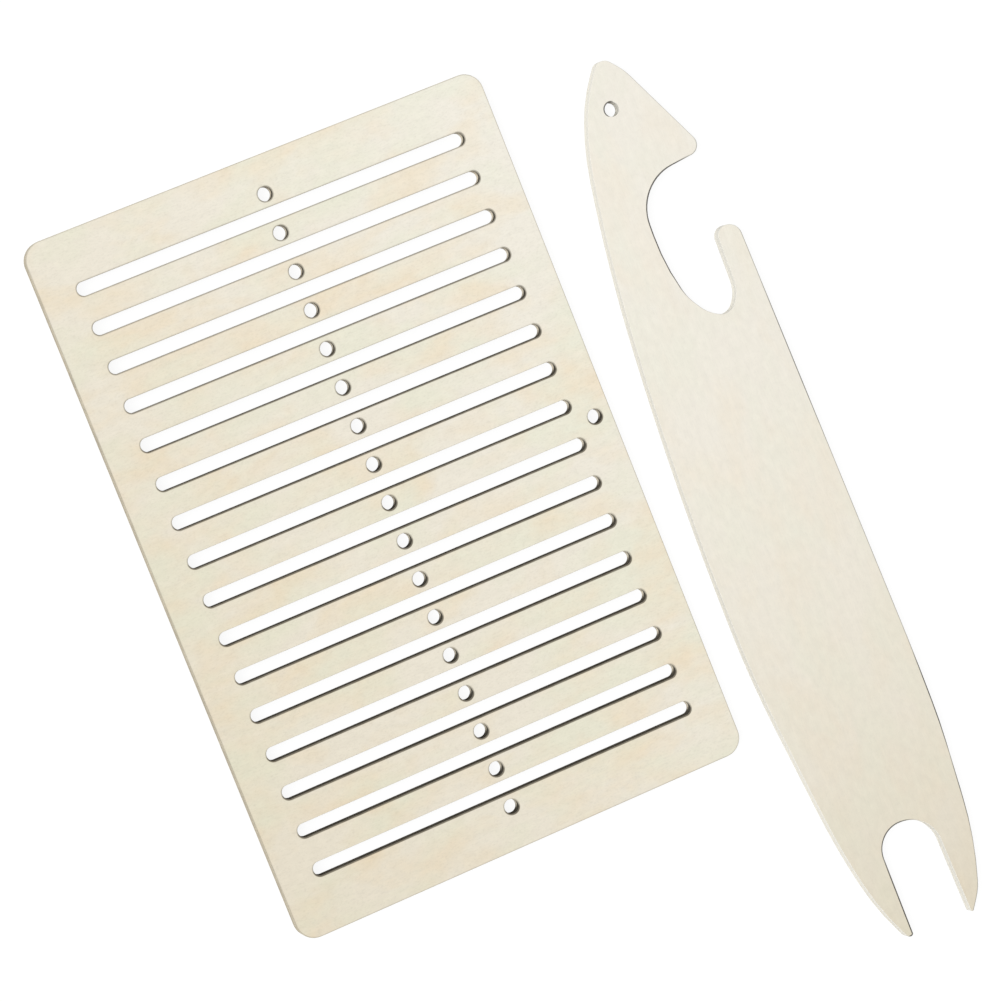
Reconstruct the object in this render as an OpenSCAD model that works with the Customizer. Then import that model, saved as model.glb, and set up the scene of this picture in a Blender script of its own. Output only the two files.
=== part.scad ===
// Band-weaving set: a rigid heddle plate and the stick shuttle that goes with it.
// Both are cut from one three-layer plywood sheet and lie flat, side by side.
// X runs along the slots, Y along the row of eyes, Z up from the table.

/* [Plywood] */
// Thickness of one veneer, three of which make the sheet
veneer_t = 1; // [0.6:0.1:2]

/* [Heddle] */
// Number of eyes in the middle row, with a slot between each two
eye_count = 17; // [5:1:25]
// Distance from one eye to the next
eye_pitch = 8.35; // [7:0.05:12]
// Diameter of an eye
eye_d = 3; // [2:0.1:4]
// Wood from the first eye's centre to the lower end of the plate
lower_margin = 8.6; // [6:0.1:14]
// Wood from the last eye's centre to the upper end
upper_margin = 7.8; // [6:0.1:14]
// Width of a slot
slot_w = 2.85; // [2:0.05:4]
// Length of a slot over its round ends
slot_l = 85; // [50:1:120]
// Wood between a slot's end and the long edge of the plate
side_rail = 7.5; // [6.5:0.5:16]
// Radius of the plate's corners
corner_r = 4; // [1:0.5:6]
// Diameter of the tie hole in the side rail
tie_d = 3; // [2:0.1:4]
// Centre of the tie hole from the long edge
tie_edge = 3.6; // [3:0.1:4.5]

/* [Shuttle] */
// Length from the heel to the nose
shuttle_l = 193; // [170:1:230]
// Greatest width
shuttle_w = 34.2; // [32:0.1:42]
// Nose, from its top down to the beak
nose_l = 24.3; // [21:0.1:30]
// How far the beak reaches beside the shuttle's middle line
beak_reach = 14.8; // [12:0.1:18]
// Opening between the beak and the horn
mouth_h = 16.3; // [12:0.1:22]
// Width of the neck beside the opening
neck_w = 10; // [8:0.5:13]
// Width of the horn
horn_w = 5; // [4:0.5:7.5]
// Depth of the pocket behind the horn
pocket_d = 17.5; // [15:0.5:26]
// Width of the tail fork
fork_w = 12.8; // [8:0.2:14]
// Depth of the tail fork
fork_d = 23.5; // [16:0.5:32]
// Middle of the tail fork beside the shuttle's middle line
fork_x = 1.2; // [0:0.1:2]
// Diameter of the nose hole
nose_d = 3; // [2:0.1:5]
// Centre of the nose hole below the nose's top
nose_hole = 9.9; // [8:0.1:12]
// How far the nose hole lies to the left of the middle line
nose_left = 0.7; // [0:0.1:1.5]

/* [Layout] */
// Table left between the heddle and the shuttle
lay_gap = 7.2; // [2:0.1:30]
// How far the shuttle's heel lies below the heddle's end
heel_below = 51; // [0:1:80]

/* [Hidden] */

face_colour = "#EAE3D0";
core_colour = "#D9C8A4";
round_steps = 64;
arc_turn = 6;
arc_chord = 5;

heddle_w = slot_l + 2 * side_rail;
heddle_l = lower_margin + (eye_count - 1) * eye_pitch + upper_margin;
set_w = heddle_w + lay_gap + shuttle_w;
set_top = max(heddle_l, shuttle_l - heel_below);
// Lower left corner of the heddle, with the whole set centred on the origin
heddle_at = [-set_w / 2, heel_below - (set_top + heel_below) / 2];
// Heel of the shuttle on its middle line
shuttle_at = heddle_at + [heddle_w + lay_gap + shuttle_w / 2, -heel_below];

// Shuttle outline
// Corners are [x, y, radius], anticlockwise, from the heel up and in the shuttle's own place
half = shuttle_w / 2;
fork_left = fork_x - fork_w / 2;
fork_right = fork_x + fork_w / 2;
beak_y = shuttle_l - nose_l;
horn_y = beak_y - mouth_h;
horn_out = half - 1.6;
horn_in = horn_out - horn_w;
pocket_y = horn_y - pocket_d;
// The neck's outer side curves away from the full width by this much
neck_draw = 4.8;
neck_in = neck_draw - half + neck_w;

outer_corners = [
    [fork_right + 0.6, -0.66, 0.35],
    [half - 5.7, 3.7, 13],
    [half - 2.2, 14.1, 78],
    [half - 0.1, 39.6, 129],
    [half + 0.04, 55, 620],
];
mouth_corners = [
    [horn_out, horn_y, 0.56 * horn_w],
    [horn_in, horn_y, 0.44 * horn_w],
    [horn_in - 0.3, pocket_y + 4, 7],
    [horn_in - 3.5, pocket_y - 0.2, 3],
    [horn_in - 7.9, pocket_y + 2.1, 8],
    [neck_in + 2, pocket_y + 6.6, 12],
    [neck_in, pocket_y + 14.8, 46],
    [neck_in + 0.5, beak_y - 1.7, 10],
    [beak_reach, beak_y, 2.3],
];
nose_corners = [
    [4.8, shuttle_l - 3.3, 13],
    [1.9, shuttle_l, 3.3],
    [-0.1, shuttle_l, 2.7],
    [-4.6, shuttle_l - 5.8, 37],
    [-8.7, shuttle_l - 16, 64],
];
back_corners = [
    [neck_draw - half - 0.8, shuttle_l - 39.6, 350],
    [-half - 0.07, shuttle_l - 89, 700],
    [-half, 62.5, 230],
    [3.8 - half, 23.2, 154],
    [7 - half, 8.1, 56],
];
fork_corners = [
    [fork_left - 1.3, 0.5, 1.2],
    [fork_left - 0.1, 0.7, 0.6],
    [fork_left, fork_d + 0.4, 0.45 * fork_w],
    [fork_right, fork_d - 0.4, 0.55 * fork_w],
];
shuttle_corners = concat(outer_corners, mouth_corners, nose_corners, back_corners, fork_corners);

// Outline of rounded corners
function corner(c, i) = c[(i + len(c)) % len(c)];
function place(c, i) = [corner(c, i).x, corner(c, i).y];
function way(c, i) = place(c, i + 1) - place(c, i);
function turn(c, i) = atan2(cross(way(c, i - 1), way(c, i)), way(c, i - 1) * way(c, i));
function tangent(c, i) = corner(c, i).z * tan(abs(turn(c, i)) / 2);
// A side too short for both its arcs makes them smaller together
function room(c, i) = min(1, norm(way(c, i)) / (tangent(c, i) + tangent(c, i + 1)));
function arc_points(c, i) =
    let (
        r = corner(c, i).z * min(room(c, i - 1), room(c, i)),
        bend = turn(c, i),
        hand = sign(bend),
        along = way(c, i - 1) / norm(way(c, i - 1)),
        start = place(c, i) - along * r * tan(abs(bend) / 2),
        centre = start + hand * r * [-along.y, along.x],
        heading = atan2(along.y, along.x),
        steps = ceil(max(abs(bend) / arc_turn, r * abs(bend) * PI / 180 / arc_chord))
    )
    [for (k = [0 : steps])
        let (a = heading + bend * k / steps)
        centre + hand * r * [sin(a), -cos(a)]];
function rounded(c) = [for (i = [0 : len(c) - 1]) each arc_points(c, i)];

// Heddle outline
module round_slot(length, width) {
    straight = length - width;
    square([straight, width], center = true);
    for (side = [-1, 1])
        translate([side * straight / 2, 0])
            circle(d = width, $fn = round_steps);
}

module round_plate(width, length, radius) {
    translate([radius, 0])
        square([width - 2 * radius, length]);
    translate([0, radius])
        square([width, length - 2 * radius]);
    for (x = [radius, width - radius], y = [radius, length - radius])
        translate([x, y])
            circle(r = radius, $fn = round_steps);
}

module heddle_outline() {
    difference() {
        round_plate(heddle_w, heddle_l, corner_r);
        for (i = [0 : eye_count - 1])
            translate([heddle_w / 2, lower_margin + i * eye_pitch])
                circle(d = eye_d, $fn = round_steps);
        for (i = [0 : eye_count - 2])
            translate([heddle_w / 2, lower_margin + (i + 0.5) * eye_pitch])
                round_slot(slot_l, slot_w);
        translate([heddle_w - tie_edge, lower_margin + (eye_count - 1) / 2 * eye_pitch])
            circle(d = tie_d, $fn = round_steps);
    }
}

module shuttle_outline() {
    difference() {
        polygon(rounded(shuttle_corners));
        translate([-nose_left, shuttle_l - nose_hole])
            circle(d = nose_d, $fn = round_steps);
    }
}

// Veneers, counted up from the table
module heddle_veneer(layer) {
    translate([heddle_at.x, heddle_at.y, layer * veneer_t])
        linear_extrude(veneer_t)
            heddle_outline();
}

module shuttle_veneer(layer) {
    translate([shuttle_at.x, shuttle_at.y, layer * veneer_t])
        linear_extrude(veneer_t)
            shuttle_outline();
}

module heddle_back_veneer() {
    color(face_colour) heddle_veneer(0);
}

module heddle_core_veneer() {
    color(core_colour) heddle_veneer(1);
}

module heddle_front_veneer() {
    color(face_colour) heddle_veneer(2);
}

module shuttle_back_veneer() {
    color(face_colour) shuttle_veneer(0);
}

module shuttle_core_veneer() {
    color(core_colour) shuttle_veneer(1);
}

module shuttle_front_veneer() {
    color(face_colour) shuttle_veneer(2);
}

heddle_back_veneer();
heddle_core_veneer();
heddle_front_veneer();
shuttle_back_veneer();
shuttle_core_veneer();
shuttle_front_veneer();
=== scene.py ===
import math
import bpy
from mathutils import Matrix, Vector


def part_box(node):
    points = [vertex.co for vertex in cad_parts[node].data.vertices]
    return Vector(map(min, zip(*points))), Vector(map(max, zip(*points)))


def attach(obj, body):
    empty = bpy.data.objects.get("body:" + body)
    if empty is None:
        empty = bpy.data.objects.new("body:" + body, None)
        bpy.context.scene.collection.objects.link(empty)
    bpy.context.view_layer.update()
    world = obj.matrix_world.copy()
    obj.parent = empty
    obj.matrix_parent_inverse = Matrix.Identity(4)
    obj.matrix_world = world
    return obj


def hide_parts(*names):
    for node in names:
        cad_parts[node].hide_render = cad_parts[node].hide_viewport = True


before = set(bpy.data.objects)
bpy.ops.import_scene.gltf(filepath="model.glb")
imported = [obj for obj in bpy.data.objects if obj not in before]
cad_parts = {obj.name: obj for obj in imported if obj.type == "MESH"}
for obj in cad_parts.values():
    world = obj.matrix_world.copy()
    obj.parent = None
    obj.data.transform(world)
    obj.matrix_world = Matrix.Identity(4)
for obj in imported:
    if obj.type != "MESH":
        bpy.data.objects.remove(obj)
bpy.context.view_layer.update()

# Heddle face veneers
# The top and bottom plies of the plate are rotary-cut basswood, 1 mm thick, with their grain along the slots.
# All three plies are cut at once by laser, then the rims are lightly sanded, which eases their arrises.
MM = 0.001
PLY = 1 * MM
SHEET = 3 * PLY
ARRIS = 0.09 * MM
TOAST_REACH = 0.35 * MM
MERGE_GAP = 0.001 * MM
# Triangles that turn less than this from one to the next are one flat face
SAME_FACE_TURN = math.radians(0.5)
# Facets of a round wall turn less than this from one to the next
ROUND_WALL_TURN = math.radians(20)
# A face lies flat on the sheet if its normal is this nearly upright, where 1 is upright
FLAT = 0.99


def cut_from_sheet(node, name):
    """Copies one veneer as the CAD cuts it and joins its loose triangles into clean faces."""
    bpy.ops.object.select_all(action="DESELECT")
    veneer = bpy.data.objects.new(name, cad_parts[node].data.copy())
    veneer.data.name = name
    veneer.data.materials.clear()
    bpy.context.scene.collection.objects.link(veneer)
    veneer.select_set(True)
    bpy.context.view_layer.objects.active = veneer
    bpy.ops.object.mode_set(mode="EDIT")
    bpy.ops.mesh.select_all(action="SELECT")
    bpy.ops.mesh.customdata_custom_splitnormals_clear()
    bpy.ops.mesh.remove_doubles(threshold=MERGE_GAP)
    bpy.ops.mesh.dissolve_limited(angle_limit=SAME_FACE_TURN)
    bpy.ops.object.mode_set(mode="OBJECT")
    return veneer


def select_face_side(veneer, up):
    """Goes into edit mode with only one flat side selected: the show side (up = 1) or the back (up = -1)."""
    bpy.ops.object.mode_set(mode="EDIT")
    bpy.ops.mesh.select_mode(type="FACE")
    bpy.ops.mesh.select_all(action="DESELECT")
    bpy.ops.object.mode_set(mode="OBJECT")
    for side in veneer.data.polygons:
        side.select = side.normal.z * up > FLAT
    bpy.ops.object.mode_set(mode="EDIT")


def ease_arris(veneer, up):
    """Rounds the rims of the outline and of every hole on one side, as fine sanding does."""
    select_face_side(veneer, up)
    bpy.ops.mesh.region_to_loop()
    bpy.ops.mesh.bevel(offset=ARRIS, segments=2, affect="EDGES", loop_slide=False)
    bpy.ops.object.mode_set(mode="OBJECT")


def band_along_rims(veneer, up, reach):
    """Runs a narrow band of faces along the outline and round every hole on one side."""
    select_face_side(veneer, up)
    bpy.ops.mesh.inset(thickness=reach, use_boundary=True, use_even_offset=True)
    bpy.ops.object.mode_set(mode="OBJECT")


def wall_facing(veneer):
    """Which way the cut wall beside each point faces, as a flat vector, which is zero away from walls."""
    facing = [Vector((0, 0)) for _ in veneer.data.vertices]
    for side in veneer.data.polygons:
        if abs(side.normal.z) < FLAT:
            for v in side.vertices:
                facing[v] += side.normal.xy * side.area
    return [way.normalized() for way in facing]


def mark_heat(veneer, heat):
    """Keeps on every point beside a cut wall how dark the cut left it, and 0 on all others."""
    toast = veneer.data.attributes.new("toast", "FLOAT", "POINT")
    for v, way in enumerate(wall_facing(veneer)):
        if way.length > 0:
            toast.data[v].value = heat(veneer.data.vertices[v].co, way)


def smooth_round_walls(veneer):
    """Shades the round walls smoothly and leaves the arrises crisp."""
    bpy.ops.object.select_all(action="DESELECT")
    veneer.select_set(True)
    bpy.context.view_layer.objects.active = veneer
    bpy.ops.object.shade_smooth_by_angle(angle=ROUND_WALL_TURN)


def linear(hex_colour):
    """An sRGB hex colour as the linear values that a shader takes."""
    parts = [int(hex_colour[i : i + 2], 16) / 255 for i in (1, 3, 5)]
    return (*[c / 12.92 if c <= 0.04045 else ((c + 0.055) / 1.055) ** 2.4 for c in parts], 1)


def add(tree, kind, settings=None, **links):
    """Adds one node. Settings name its properties or inputs, or give an input's number.

    Links name inputs and what feeds them, with _ for a space, and _1 is the input with number 1."""
    node = tree.nodes.new("ShaderNode" + kind)
    for key, value in (settings or {}).items():
        if isinstance(key, int) or key in node.inputs:
            node.inputs[key].default_value = value
        else:
            setattr(node, key, value)
    for key, source in links.items():
        place = int(key[1:]) if key[1:].isdigit() else key.replace("_", " ")
        tree.links.new(source, node.inputs[place])
    return node


def stretched_noise(tree, spot, size, detail, roughness=0.5, distortion=0.0, place=(0, 0, 0)):
    """Noise whose features have the given size along x, y and z, in mm."""
    scale = [1 / (length * MM) for length in size]
    stretched = add(tree, "Mapping", {"Location": place, "Scale": scale}, Vector=spot)
    noise = add(
        tree,
        "TexNoise",
        {"Scale": 1.0, "Detail": detail, "Roughness": roughness, "Distortion": distortion},
        Vector=stretched.outputs["Vector"],
    )
    return noise.outputs["Fac"]


def sanded_basswood(
    name, foot_cream, head_cream, warm_tint, cool_tint, specks, toasted, along_y, place, pales, settles, box
):
    """Rotary-cut basswood, sanded and unfinished: pale cream, soft clouds, fibres too fine to count.

    It pales from foot_cream to head_cream over the box, by the shares that pales gives to x, y and z."""
    finish = bpy.data.materials.new(name)
    finish.use_nodes = True
    tree = finish.node_tree
    wood = tree.nodes["Principled BSDF"]
    spot = add(tree, "TexCoord").outputs["Object"]
    # The grain runs along the mapped X, and place picks another stretch of the same wood
    turn = math.radians(90) if along_y else 0
    grain = add(tree, "Mapping", {"Rotation": (0, 0, turn), "Location": place}, Vector=spot).outputs["Vector"]

    # The piece grows lighter toward its head: evenly if settles is 1, and mostly near the
    # foot if it is more
    low, high = (Vector(corner) for corner in box)
    paling = Vector([share / (b - a) for share, a, b in zip(pales, low, high)])
    along = add(tree, "VectorMath", {"operation": "DOT_PRODUCT", 1: paling}, _0=spot)
    from_head = add(
        tree,
        "MapRange",
        {"From Min": low.dot(paling), "From Max": high.dot(paling), "To Min": 1.0, "To Max": 0.0},
        Value=along.outputs["Value"],
    )
    deeper = add(tree, "Math", {"operation": "POWER", 1: settles}, _0=from_head.outputs["Result"])
    ground = add(
        tree,
        "MixRGB",
        {"Color1": linear(head_cream), "Color2": linear(foot_cream)},
        Fac=deeper.outputs["Value"],
    )

    # Soft clouds of colour from the wood's uneven drying, 1 to 2 cm long and longest along the grain
    warm = stretched_noise(tree, grain, (18.18, 10.53, 10.53), detail=3.0, roughness=0.55, distortion=0.3)
    warm_share = add(tree, "MapRange", {"From Min": 0.43, "From Max": 0.66}, Value=warm)
    cool = stretched_noise(
        tree, grain, (15.38, 9.09, 9.09), detail=3.0, roughness=0.55, place=(0.31, 0.17, 0.05)
    )
    cool_share = add(tree, "MapRange", {"From Min": 0.45, "From Max": 0.68}, Value=cool)
    tint = add(
        tree,
        "MixRGB",
        {"Color1": linear("#FFFFFF"), "Color2": linear(warm_tint)},
        Fac=warm_share.outputs["Result"],
    )
    tint = add(
        tree,
        "MixRGB",
        {"Color2": linear(cool_tint)},
        Fac=cool_share.outputs["Result"],
        Color1=tint.outputs["Color"],
    )
    ground = add(
        tree,
        "MixRGB",
        {"blend_type": "MULTIPLY", "Fac": 1.0},
        Color1=ground.outputs["Color"],
        Color2=tint.outputs["Color"],
    )

    # Mottle: soft spots 1 to 2 mm long, where sanding opened the wood unevenly
    mottle = stretched_noise(tree, grain, (2.326, 1.471, 1.471), detail=2.0, distortion=0.3)
    mottle_light = add(
        tree,
        "MapRange",
        {"From Min": 0.3, "From Max": 0.7, "To Min": 0.974, "To Max": 1.022},
        Value=mottle,
    )
    # Fibres are 0.03 mm wide; drawn about 0.25 mm wide and 6 mm long so that they show
    fibre = stretched_noise(tree, grain, (6.25, 0.2564, 0.2564), detail=2.0, roughness=0.6)
    fibre_light = add(
        tree,
        "MapRange",
        {"From Min": 0.3, "From Max": 0.7, "To Min": 0.986, "To Max": 1.012},
        Value=fibre,
    )
    # Specks of pore and smoke dust, a few tenths of a millimetre long
    speck = stretched_noise(tree, grain, (0.5882, 0.3448, 0.3448), detail=2.0)
    speck_share = add(
        tree,
        "MapRange",
        {"From Min": 0.5, "From Max": 0.75, "To Max": specks},
        Value=speck,
    )
    brightness = add(
        tree,
        "Math",
        {"operation": "MULTIPLY"},
        _0=mottle_light.outputs["Result"],
        _1=fibre_light.outputs["Result"],
    )
    brightness = add(
        tree,
        "Math",
        {"operation": "SUBTRACT"},
        _0=brightness.outputs["Value"],
        _1=speck_share.outputs["Result"],
    )
    figured = add(
        tree,
        "VectorMath",
        {"operation": "SCALE"},
        _0=ground.outputs["Color"],
        Scale=brightness.outputs["Value"],
    )

    # Heat from the cut darkens a narrow band beside each rim, unevenly, in licks about 2 mm long
    toast = add(tree, "Attribute", {"attribute_name": "toast"})
    fade = add(
        tree,
        "MapRange",
        {"interpolation_type": "SMOOTHSTEP", "From Min": 0.05, "From Max": 0.5},
        Value=toast.outputs["Fac"],
    )
    lick = stretched_noise(tree, grain, (2.381, 2.381, 2.381), detail=2.0)
    lick_share = add(
        tree,
        "MapRange",
        {"From Min": 0.35, "From Max": 0.7, "To Min": 0.85, "To Max": 1.0},
        Value=lick,
    )
    toast_share = add(
        tree,
        "Math",
        {"operation": "MULTIPLY"},
        _0=fade.outputs["Result"],
        _1=lick_share.outputs["Result"],
    )
    coloured = add(
        tree,
        "MixRGB",
        {"Color2": linear(toasted)},
        Fac=toast_share.outputs["Value"],
        Color1=figured.outputs["Vector"],
    )
    tree.links.new(coloured.outputs["Color"], wood.inputs["Base Color"])

    # Sanded wood is dull, a little less so along the fibres, and its fibres can just be felt
    dull = add(
        tree,
        "MapRange",
        {"From Min": 0.3, "From Max": 0.7, "To Min": 0.62, "To Max": 0.74},
        Value=fibre,
    )
    tree.links.new(dull.outputs["Result"], wood.inputs["Roughness"])
    relief = add(tree, "Math", {"operation": "SUBTRACT"}, _0=fibre, _1=speck_share.outputs["Result"])
    felt = add(tree, "Bump", {"Strength": 0.35, "Distance": 0.03 * MM}, Height=relief.outputs["Value"])
    tree.links.new(felt.outputs["Normal"], wood.inputs["Normal"])
    wood.inputs["IOR"].default_value = 1.5
    return finish


def laser_cut_edge(name, clean, charred, burn_low, burn_high, lee_share, gloss):
    """Basswood cut by laser: browned to charcoal, in upright stripes, palest where the heat mark is 0.

    The burn lies between burn_low and burn_high, and lee_share of it is left where the mark is 0."""
    finish = bpy.data.materials.new(name)
    finish.use_nodes = True
    tree = finish.node_tree
    edge = tree.nodes["Principled BSDF"]
    spot = add(tree, "TexCoord").outputs["Object"]

    # Pulses leave upright stripes about 0.1 mm apart; drawn 0.35 mm apart so that they show
    stripe = stretched_noise(tree, spot, (0.3448, 0.3448, 7.692), detail=2.0, roughness=0.6)
    # Smoke settles in patches about 4 mm long, which count for more than the stripes
    patch = stretched_noise(tree, spot, (3.846, 3.846, 3.846), detail=2.0)
    uneven = add(tree, "Math", {"operation": "MULTIPLY_ADD", 1: 0.6}, _0=stripe, _2=patch)
    burn = add(
        tree,
        "MapRange",
        {"From Min": 0.55, "From Max": 1.05, "To Min": burn_low, "To Max": burn_high},
        Value=uneven.outputs["Value"],
    )
    mark = add(tree, "Attribute", {"attribute_name": "toast"})
    soot = add(
        tree,
        "MapRange",
        {"From Max": 0.6, "To Min": lee_share, "To Max": 1.0},
        Value=mark.outputs["Fac"],
    )
    burn = add(
        tree,
        "Math",
        {"operation": "MULTIPLY"},
        _0=burn.outputs["Result"],
        _1=soot.outputs["Result"],
    )

    # The sanded arrises are lighter, and each glue line between two plies burns blackest.
    # Each pair is a height in the sheet, in mm, and the share of the burn there
    layers = [
        (0.0, 0.75),
        (0.15, 0.97),
        (0.9, 0.93),
        (1.0, 1.0),
        (1.1, 0.9),
        (1.9, 0.93),
        (2.0, 1.0),
        (2.1, 0.9),
        (2.85, 0.97),
        (2.97, 0.85),
    ]
    height = add(tree, "SeparateXYZ", Vector=spot).outputs["Z"]
    in_sheet = add(tree, "MapRange", {"From Min": 0.0, "From Max": SHEET}, Value=height)
    layered = add(tree, "ValToRGB", Fac=in_sheet.outputs["Result"])
    ramp = layered.color_ramp
    ramp.elements.remove(ramp.elements[1])
    bottom_share = layers[0][1]
    ramp.elements[0].color = (bottom_share, bottom_share, bottom_share, 1)
    for level, share in layers[1:]:
        ramp.elements.new(level * MM / SHEET).color = (share, share, share, 1)
    burn = add(
        tree,
        "Math",
        {"operation": "MULTIPLY"},
        _0=burn.outputs["Value"],
        _1=layered.outputs["Color"],
    )
    colour = add(
        tree,
        "MixRGB",
        {"Color1": linear(clean), "Color2": linear(charred)},
        Fac=burn.outputs["Value"],
    )
    tree.links.new(colour.outputs["Color"], edge.inputs["Base Color"])
    groove = add(tree, "Bump", {"Strength": 0.5, "Distance": 0.05 * MM}, Height=stripe)
    tree.links.new(groove.outputs["Normal"], edge.inputs["Normal"])
    edge.inputs["Roughness"].default_value = 0.8
    edge.inputs["Specular IOR Level"].default_value = gloss
    return finish


heddle_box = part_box("heddle_front_veneer")
heddle_low, heddle_high = heddle_box
# The clouds tint the cream that they lie on
PEACH_CLOUD = "#FFF7EB"
GREEN_CLOUD = "#FBFFFA"
# The plate pales toward its upper right corner, a little more along x than along y
HEDDLE_PALES = (0.57, 0.43, 0.0)
heddle_face_front = sanded_basswood(
    "sanded_basswood_heddle_front",
    foot_cream="#E4DBC7",
    head_cream="#F4EFE2",
    warm_tint=PEACH_CLOUD,
    cool_tint=GREEN_CLOUD,
    specks=0.07,
    toasted="#5E5443",
    along_y=False,
    place=(0.0, 0.0, 0.0),
    pales=HEDDLE_PALES,
    settles=1.0,
    box=heddle_box,
)
heddle_face_back = sanded_basswood(
    "sanded_basswood_heddle_back",
    foot_cream="#E1D7C2",
    head_cream="#F0E9DB",
    warm_tint=PEACH_CLOUD,
    cool_tint=GREEN_CLOUD,
    specks=0.07,
    toasted="#5A4F3E",
    along_y=False,
    place=(0.43, 0.21, 0.1),
    pales=HEDDLE_PALES,
    settles=1.0,
    box=heddle_box,
)
slot_wall = laser_cut_edge(
    "charred_basswood_slot_walls",
    clean="#F2E9D6",
    charred="#17140C",
    burn_low=0.95,
    burn_high=1.0,
    lee_share=0.04,
    gloss=0.0,
)
plate_edge = laser_cut_edge(
    "toasted_basswood_plate_edge",
    clean="#DDD3BC",
    charred="#4A4030",
    burn_low=0.25,
    burn_high=0.5,
    lee_share=1.0,
    gloss=0.3,
)

# The plate's rounded corners lie up to this far inside its box, and its holes lie further in
OUTLINE_DEPTH = 1.2 * MM
# How dark the cut left the walls and rims, from 0 to 1. All but the outline's are added to HOLE_HEAT
OUTLINE_HEAT = 0.2
OUTLINE_LEFT_HEAT = 0.1
HOLE_HEAT = 0.1
FOOT_RIM_HEAT = 0.75
FOOT_RIM_LOSS = 0.5
HEAD_RIM_GAIN = 0.15
LEFT_END_HEAT = 0.2
RIGHT_RIM_HEAT = 0.25
RIGHT_WALL_HEAT = 0.5
RIGHT_LOW_HEAT = -0.1
# Between these two distances from the plate's foot, the slots' long rims change by that loss and gain
CHANGE_STARTS = 79.5 * MM
CHANGE_ENDS = 121.5 * MM


def on_plate_outline(x, y):
    """True on the plate's own outline, and False in its holes."""
    depth = min(x - heddle_low[0], heddle_high[0] - x, y - heddle_low[1], heddle_high[1] - y)
    return depth < OUTLINE_DEPTH


def heddle_heat(point, way):
    """Smoke blew toward the plate's foot, so the rims on the slots' foot side are dark and the others pale.

    Toward the plate's head this evens out. The right ends are darkest on the wall, most of all on its foot
    side, and pale low down, where the beam had lost its heat."""
    if on_plate_outline(point.x, point.y):
        return OUTLINE_HEAT + OUTLINE_LEFT_HEAT * max(-way.x, 0)
    from_foot = point.y - heddle_low[1]
    change = min(1, max(0, (from_foot - CHANGE_STARTS) / (CHANGE_ENDS - CHANGE_STARTS)))
    foot_rim = (FOOT_RIM_HEAT - FOOT_RIM_LOSS * change) * max(way.y, 0)
    head_rim = HEAD_RIM_GAIN * change * max(-way.y, 0)
    # From the sanded rim on the show side, down the wall, to the lowest ply
    if point.z > SHEET - ARRIS / 2:
        right_end = RIGHT_RIM_HEAT
    elif point.z > 1.5 * PLY:
        right_end = RIGHT_WALL_HEAT * (1 + way.y)
    else:
        right_end = RIGHT_LOW_HEAT
    ends = LEFT_END_HEAT * max(way.x, 0) + right_end * max(-way.x, 0)
    return HOLE_HEAT + foot_rim + head_rim + ends


def finish_heddle(veneer, face):
    """Gives flat sides the face wood, slots, eyes and tie hole the char, and the outline the toasted edge."""
    finishes = [face, slot_wall, plate_edge]
    for finish in finishes:
        veneer.data.materials.append(finish)
    for side in veneer.data.polygons:
        wall = plate_edge if on_plate_outline(side.center.x, side.center.y) else slot_wall
        finish = face if abs(side.normal.z) > FLAT else wall
        side.material_index = finishes.index(finish)


heddle_front = cut_from_sheet("heddle_front_veneer", "heddle_front_ply")
ease_arris(heddle_front, up=1)
band_along_rims(heddle_front, up=1, reach=TOAST_REACH)
mark_heat(heddle_front, heddle_heat)
finish_heddle(heddle_front, heddle_face_front)
smooth_round_walls(heddle_front)
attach(heddle_front, "heddle")
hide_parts("heddle_front_veneer")

heddle_back = cut_from_sheet("heddle_back_veneer", "heddle_back_ply")
ease_arris(heddle_back, up=-1)
band_along_rims(heddle_back, up=-1, reach=TOAST_REACH)
mark_heat(heddle_back, heddle_heat)
finish_heddle(heddle_back, heddle_face_back)
smooth_round_walls(heddle_back)
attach(heddle_back, "heddle")
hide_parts("heddle_back_veneer")

# Heddle core veneer
# The middle ply lies across the grain of the faces and shows only at the cut walls.
# The beam eats its softer glue-soaked wood a little further back than the faces.
CORE_RECESS = 0.04 * MM


def draw_back(veneer, depth):
    """Takes the ply's walls back by depth, on the outline and in every hole."""
    select_face_side(veneer, up=1)
    bpy.ops.mesh.select_all(action="INVERT")
    bpy.ops.mesh.delete(type="FACE")
    bpy.ops.mesh.select_all(action="SELECT")
    bpy.ops.mesh.inset(thickness=depth, use_boundary=True, use_even_offset=True)
    bpy.ops.mesh.select_all(action="INVERT")
    bpy.ops.mesh.delete(type="FACE")
    bpy.ops.mesh.select_all(action="SELECT")
    bpy.ops.mesh.extrude_region_move(TRANSFORM_OT_translate={"value": (0, 0, -PLY)})
    bpy.ops.mesh.select_all(action="SELECT")
    bpy.ops.mesh.normals_make_consistent(inside=False)
    bpy.ops.object.mode_set(mode="OBJECT")


core_wood = sanded_basswood(
    "basswood_core",
    foot_cream="#D9C8A4",
    head_cream="#DDCDAB",
    warm_tint=PEACH_CLOUD,
    cool_tint=GREEN_CLOUD,
    specks=0.05,
    toasted="#B08A55",
    along_y=True,
    place=(0.2, 0.4, 0.3),
    pales=HEDDLE_PALES,
    settles=1.0,
    box=heddle_box,
)
heddle_core = cut_from_sheet("heddle_core_veneer", "heddle_core_ply")
draw_back(heddle_core, CORE_RECESS)
mark_heat(heddle_core, heddle_heat)
finish_heddle(heddle_core, core_wood)
smooth_round_walls(heddle_core)
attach(heddle_core, "heddle")
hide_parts("heddle_core_veneer")

# Shuttle face veneers
# The shuttle is cut from a paler part of the same sheet, with its grain along its length.
# Air blown over the cut from one side keeps the left edges free of soot and leaves soot on the right ones.
# The left walls' near-white colour is painted light: it lifts them out of their shade so that they look as
# bright as the faces.
SOOT_REACH = 0.25 * MM
# Which way the sooty rims face, and how far past square to that the last soot reaches
SOOTY_SIDE = Vector((0.82, -0.57))
SOOT_WRAP = 0.1
LEAST_SOOT = 0.3
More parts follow.
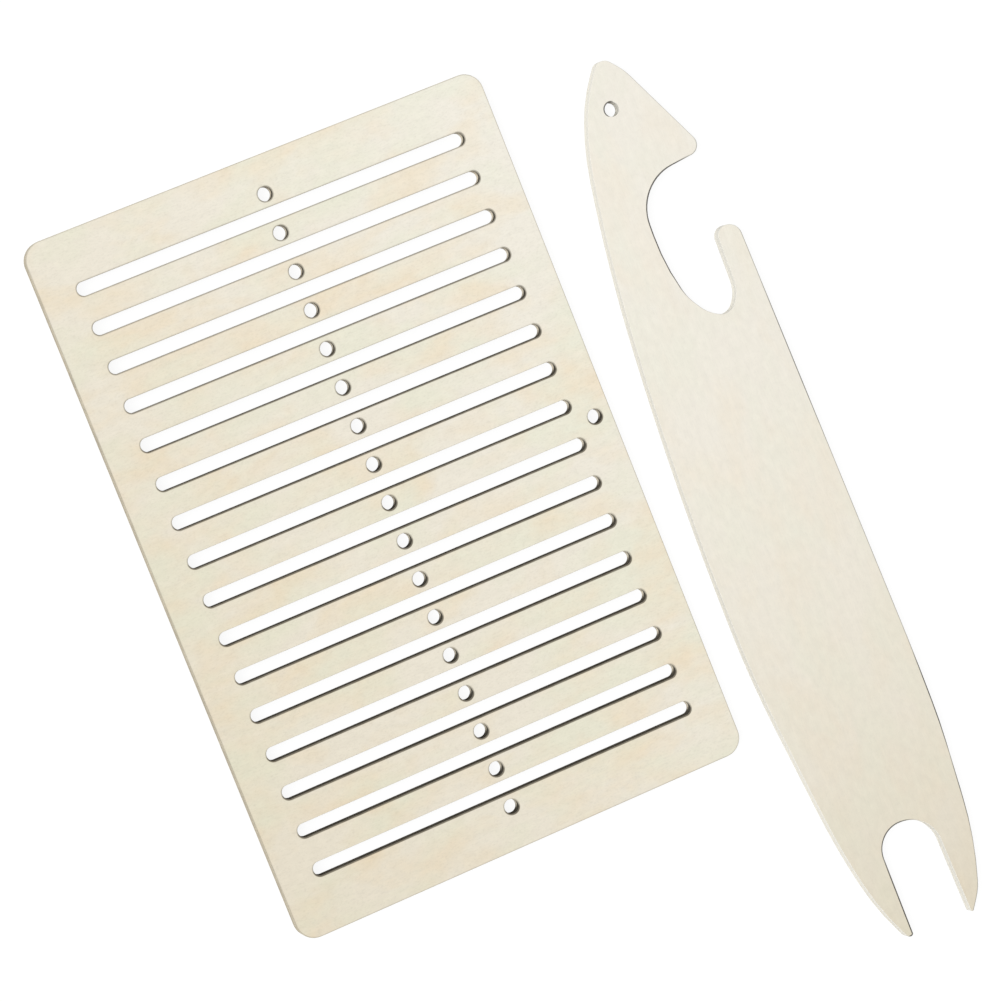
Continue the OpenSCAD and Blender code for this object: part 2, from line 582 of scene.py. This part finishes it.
# Where smoke lingered: place beside the middle of the heel, reach across and along, in mm, and strength
SOOT_PATCHES = (
    (17, 44, 8, 16, 0.75),
    (16, 24, 8, 14, 0.5),
    (16, 121, 8, 30, 0.5),
    (1, 160, 13, 22, 1.2),
    (1, 165, 7, 6, 3.0),
    (-0.7, 183, 3, 3, 1.6),
    (-1, 22, 9, 9, 1.0),
    (-5, 2, 4, 14, 1.5),
)
# The blade's long sides, in mm from the heel, and the gap between the lines laid across them
BLADE_START = 20
BLADE_END = 164
BLADE_STEP = 4
LINE_MERGE = 0.02 * MM
PALE_PEACH_CLOUD = "#FFFCF8"
PALE_GREEN_CLOUD = "#FDFFFD"
SHUTTLE_PALES = (0.0, 1.0, 0.0)
SHUTTLE_SETTLES = 2.3
shuttle_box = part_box("shuttle_front_veneer")
heel = Vector(((shuttle_box[0][0] + shuttle_box[1][0]) / 2, shuttle_box[0][1]))
shuttle_face_front = sanded_basswood(
    "sanded_basswood_shuttle_front",
    foot_cream="#E2D9C5",
    head_cream="#F3EEE2",
    warm_tint=PALE_PEACH_CLOUD,
    cool_tint=PALE_GREEN_CLOUD,
    specks=0.03,
    toasted="#120E0A",
    along_y=True,
    place=(0.11, 0.63, 0.2),
    pales=SHUTTLE_PALES,
    settles=SHUTTLE_SETTLES,
    box=shuttle_box,
)
shuttle_face_back = sanded_basswood(
    "sanded_basswood_shuttle_back",
    foot_cream="#DFD5BF",
    head_cream="#F0EADC",
    warm_tint=PALE_PEACH_CLOUD,
    cool_tint=PALE_GREEN_CLOUD,
    specks=0.03,
    toasted="#120E0A",
    along_y=True,
    place=(0.71, 0.13, 0.4),
    pales=SHUTTLE_PALES,
    settles=SHUTTLE_SETTLES,
    box=shuttle_box,
)
shuttle_edge = laser_cut_edge(
    "one_sided_soot_shuttle_edge",
    # Near white: painted light that lifts the shaded left walls to the brightness of the faces
    clean="#EDEAE0",
    charred="#3A2C1E",
    burn_low=0.85,
    burn_high=1.0,
    lee_share=0.03,
    gloss=0.3,
)


def cut_across_blade(veneer):
    """Lays a line across the blade every few millimetres, so that soot can change along its straight rims."""
    bpy.ops.object.mode_set(mode="EDIT")
    for place in range(BLADE_START, BLADE_END, BLADE_STEP):
        bpy.ops.mesh.select_all(action="SELECT")
        across = (0, heel.y + place * MM, 0)
        bpy.ops.mesh.bisect(plane_co=across, plane_no=(0, 1, 0), threshold=LINE_MERGE)
    bpy.ops.object.mode_set(mode="OBJECT")


def shuttle_heat(point, way):
    """Soot lies in patches, and only on rims that face the sooty side."""
    facing = min(1, max(0, (way.dot(SOOTY_SIDE) + SOOT_WRAP) / (1 - SOOT_WRAP)))
    x, y = (point.xy - heel) / MM
    lingered = max(
        strength * (1 - ((x - patch_x) / across) ** 2 - ((y - patch_y) / along) ** 2)
        for patch_x, patch_y, across, along, strength in SOOT_PATCHES
    )
    return facing * max(LEAST_SOOT, lingered)


def finish_shuttle(veneer, face):
    """Gives flat sides the face wood and every wall the one-sided soot."""
    finishes = [face, shuttle_edge]
    for finish in finishes:
        veneer.data.materials.append(finish)
    for side in veneer.data.polygons:
        finish = face if abs(side.normal.z) > FLAT else shuttle_edge
        side.material_index = finishes.index(finish)


shuttle_front = cut_from_sheet("shuttle_front_veneer", "shuttle_front_ply")
cut_across_blade(shuttle_front)
ease_arris(shuttle_front, up=1)
band_along_rims(shuttle_front, up=1, reach=SOOT_REACH)
mark_heat(shuttle_front, shuttle_heat)
finish_shuttle(shuttle_front, shuttle_face_front)
smooth_round_walls(shuttle_front)
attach(shuttle_front, "shuttle")
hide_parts("shuttle_front_veneer")

shuttle_back = cut_from_sheet("shuttle_back_veneer", "shuttle_back_ply")
cut_across_blade(shuttle_back)
ease_arris(shuttle_back, up=-1)
band_along_rims(shuttle_back, up=-1, reach=SOOT_REACH)
mark_heat(shuttle_back, shuttle_heat)
finish_shuttle(shuttle_back, shuttle_face_back)
smooth_round_walls(shuttle_back)
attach(shuttle_back, "shuttle")
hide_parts("shuttle_back_veneer")

# Shuttle core veneer
# The same middle ply as in the heddle. It shows only at the cut walls,
# where the beam cut it back a hair behind the faces.
shuttle_core = cut_from_sheet("shuttle_core_veneer", "shuttle_core_ply")
cut_across_blade(shuttle_core)
draw_back(shuttle_core, CORE_RECESS)
mark_heat(shuttle_core, shuttle_heat)
finish_shuttle(shuttle_core, core_wood)
smooth_round_walls(shuttle_core)
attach(shuttle_core, "shuttle")
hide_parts("shuttle_core_veneer")

# Table
# A plain matt white table, far wider than the view. The camera and mirror-like rays see it almost white
# whatever falls on it, so the background stays white while a soft shadow of the pieces remains.
TABLE_WIDTH = 6.0
# The table lies a hair under the pieces, so that it shares no plane with their backs
TABLE_TOP = -0.05 * MM


def seen_directly(tree):
    """1 on rays from the camera and on those that a glossy or clear surface sends on, and 0 on all others."""
    rays = add(tree, "LightPath").outputs
    seen = add(
        tree,
        "Math",
        {"operation": "MAXIMUM"},
        _0=rays["Is Camera Ray"],
        _1=rays["Is Glossy Ray"],
    )
    seen = add(
        tree,
        "Math",
        {"operation": "MAXIMUM"},
        _0=seen.outputs["Value"],
        _1=rays["Is Transmission Ray"],
    )
    return seen.outputs["Value"]


bpy.ops.object.select_all(action="DESELECT")
bpy.ops.mesh.primitive_plane_add(size=TABLE_WIDTH, location=(0, 0, TABLE_TOP))
table = bpy.context.object
table.name = "table"
bpy.ops.object.transform_apply(location=True, rotation=True, scale=True)
matt_white = bpy.data.materials.new("matt_white_table")
matt_white.use_nodes = True
tree = matt_white.node_tree
tree.nodes.remove(tree.nodes["Principled BSDF"])
paint = add(tree, "BsdfDiffuse", {"Color": linear("#E7E7E7")})
# Seen directly, the table glows just under white, and a dark diffuse share carries the shadows
shadow_catch = add(tree, "BsdfDiffuse", {"Color": linear("#616161")})
glow = add(tree, "Emission", {"Color": linear("#FFFFFF"), "Strength": 0.92})
shown = add(tree, "AddShader", _0=shadow_catch.outputs["BSDF"], _1=glow.outputs["Emission"])
either = add(
    tree,
    "MixShader",
    _0=seen_directly(tree),
    _1=paint.outputs["BSDF"],
    _2=shown.outputs["Shader"],
)
tree.links.new(either.outputs["Shader"], tree.nodes["Material Output"].inputs["Surface"])
table.data.materials.append(matt_white)

# Light
# One broad soft lamp far up on the left, so that it lights both pieces evenly, and a white room round it.
# The room lights the pieces at half the level at which the camera sees it.
lamp_data = bpy.data.lights.new("soft_overhead_lamp", "AREA")
lamp_data.shape = "DISK"
lamp_data.size = 2.7
lamp_data.energy = 74.0
lamp = bpy.data.objects.new("soft_overhead_lamp", lamp_data)
bpy.context.scene.collection.objects.link(lamp)
lamp.location = (-1.9, 0.45, 2.6)
lamp.rotation_euler = (math.radians(-8), math.radians(-36), 0)

room = bpy.data.worlds.new("white_room")
bpy.context.scene.world = room
room.use_nodes = True
tree = room.node_tree
level = add(tree, "MapRange", {"To Min": 0.5, "To Max": 1.0}, Value=seen_directly(tree))
tree.links.new(level.outputs["Result"], tree.nodes["Background"].inputs["Strength"])
tree.nodes["Background"].inputs["Color"].default_value = linear("#FFFFFF")

# Camera
# A long lens almost straight above the plate's upper left, turned so that both pieces lean to the left.
# Its lens, place and turn put the plate's corners, slots and eyes where the photo has them.
camera_data = bpy.data.cameras.new("camera")
camera_data.sensor_width = 36
camera_data.lens = 141.713
camera_data.clip_start = 0.01
camera = bpy.data.objects.new("camera", camera_data)
bpy.context.scene.collection.objects.link(camera)
camera.location = (-171.81 * MM, 86.40 * MM, 782.49 * MM)
camera.rotation_euler = [math.radians(turn) for turn in (0.1267, -13.4190, -22.3467)]
bpy.context.scene.camera = camera
bpy.context.scene.view_settings.view_transform = "Standard"
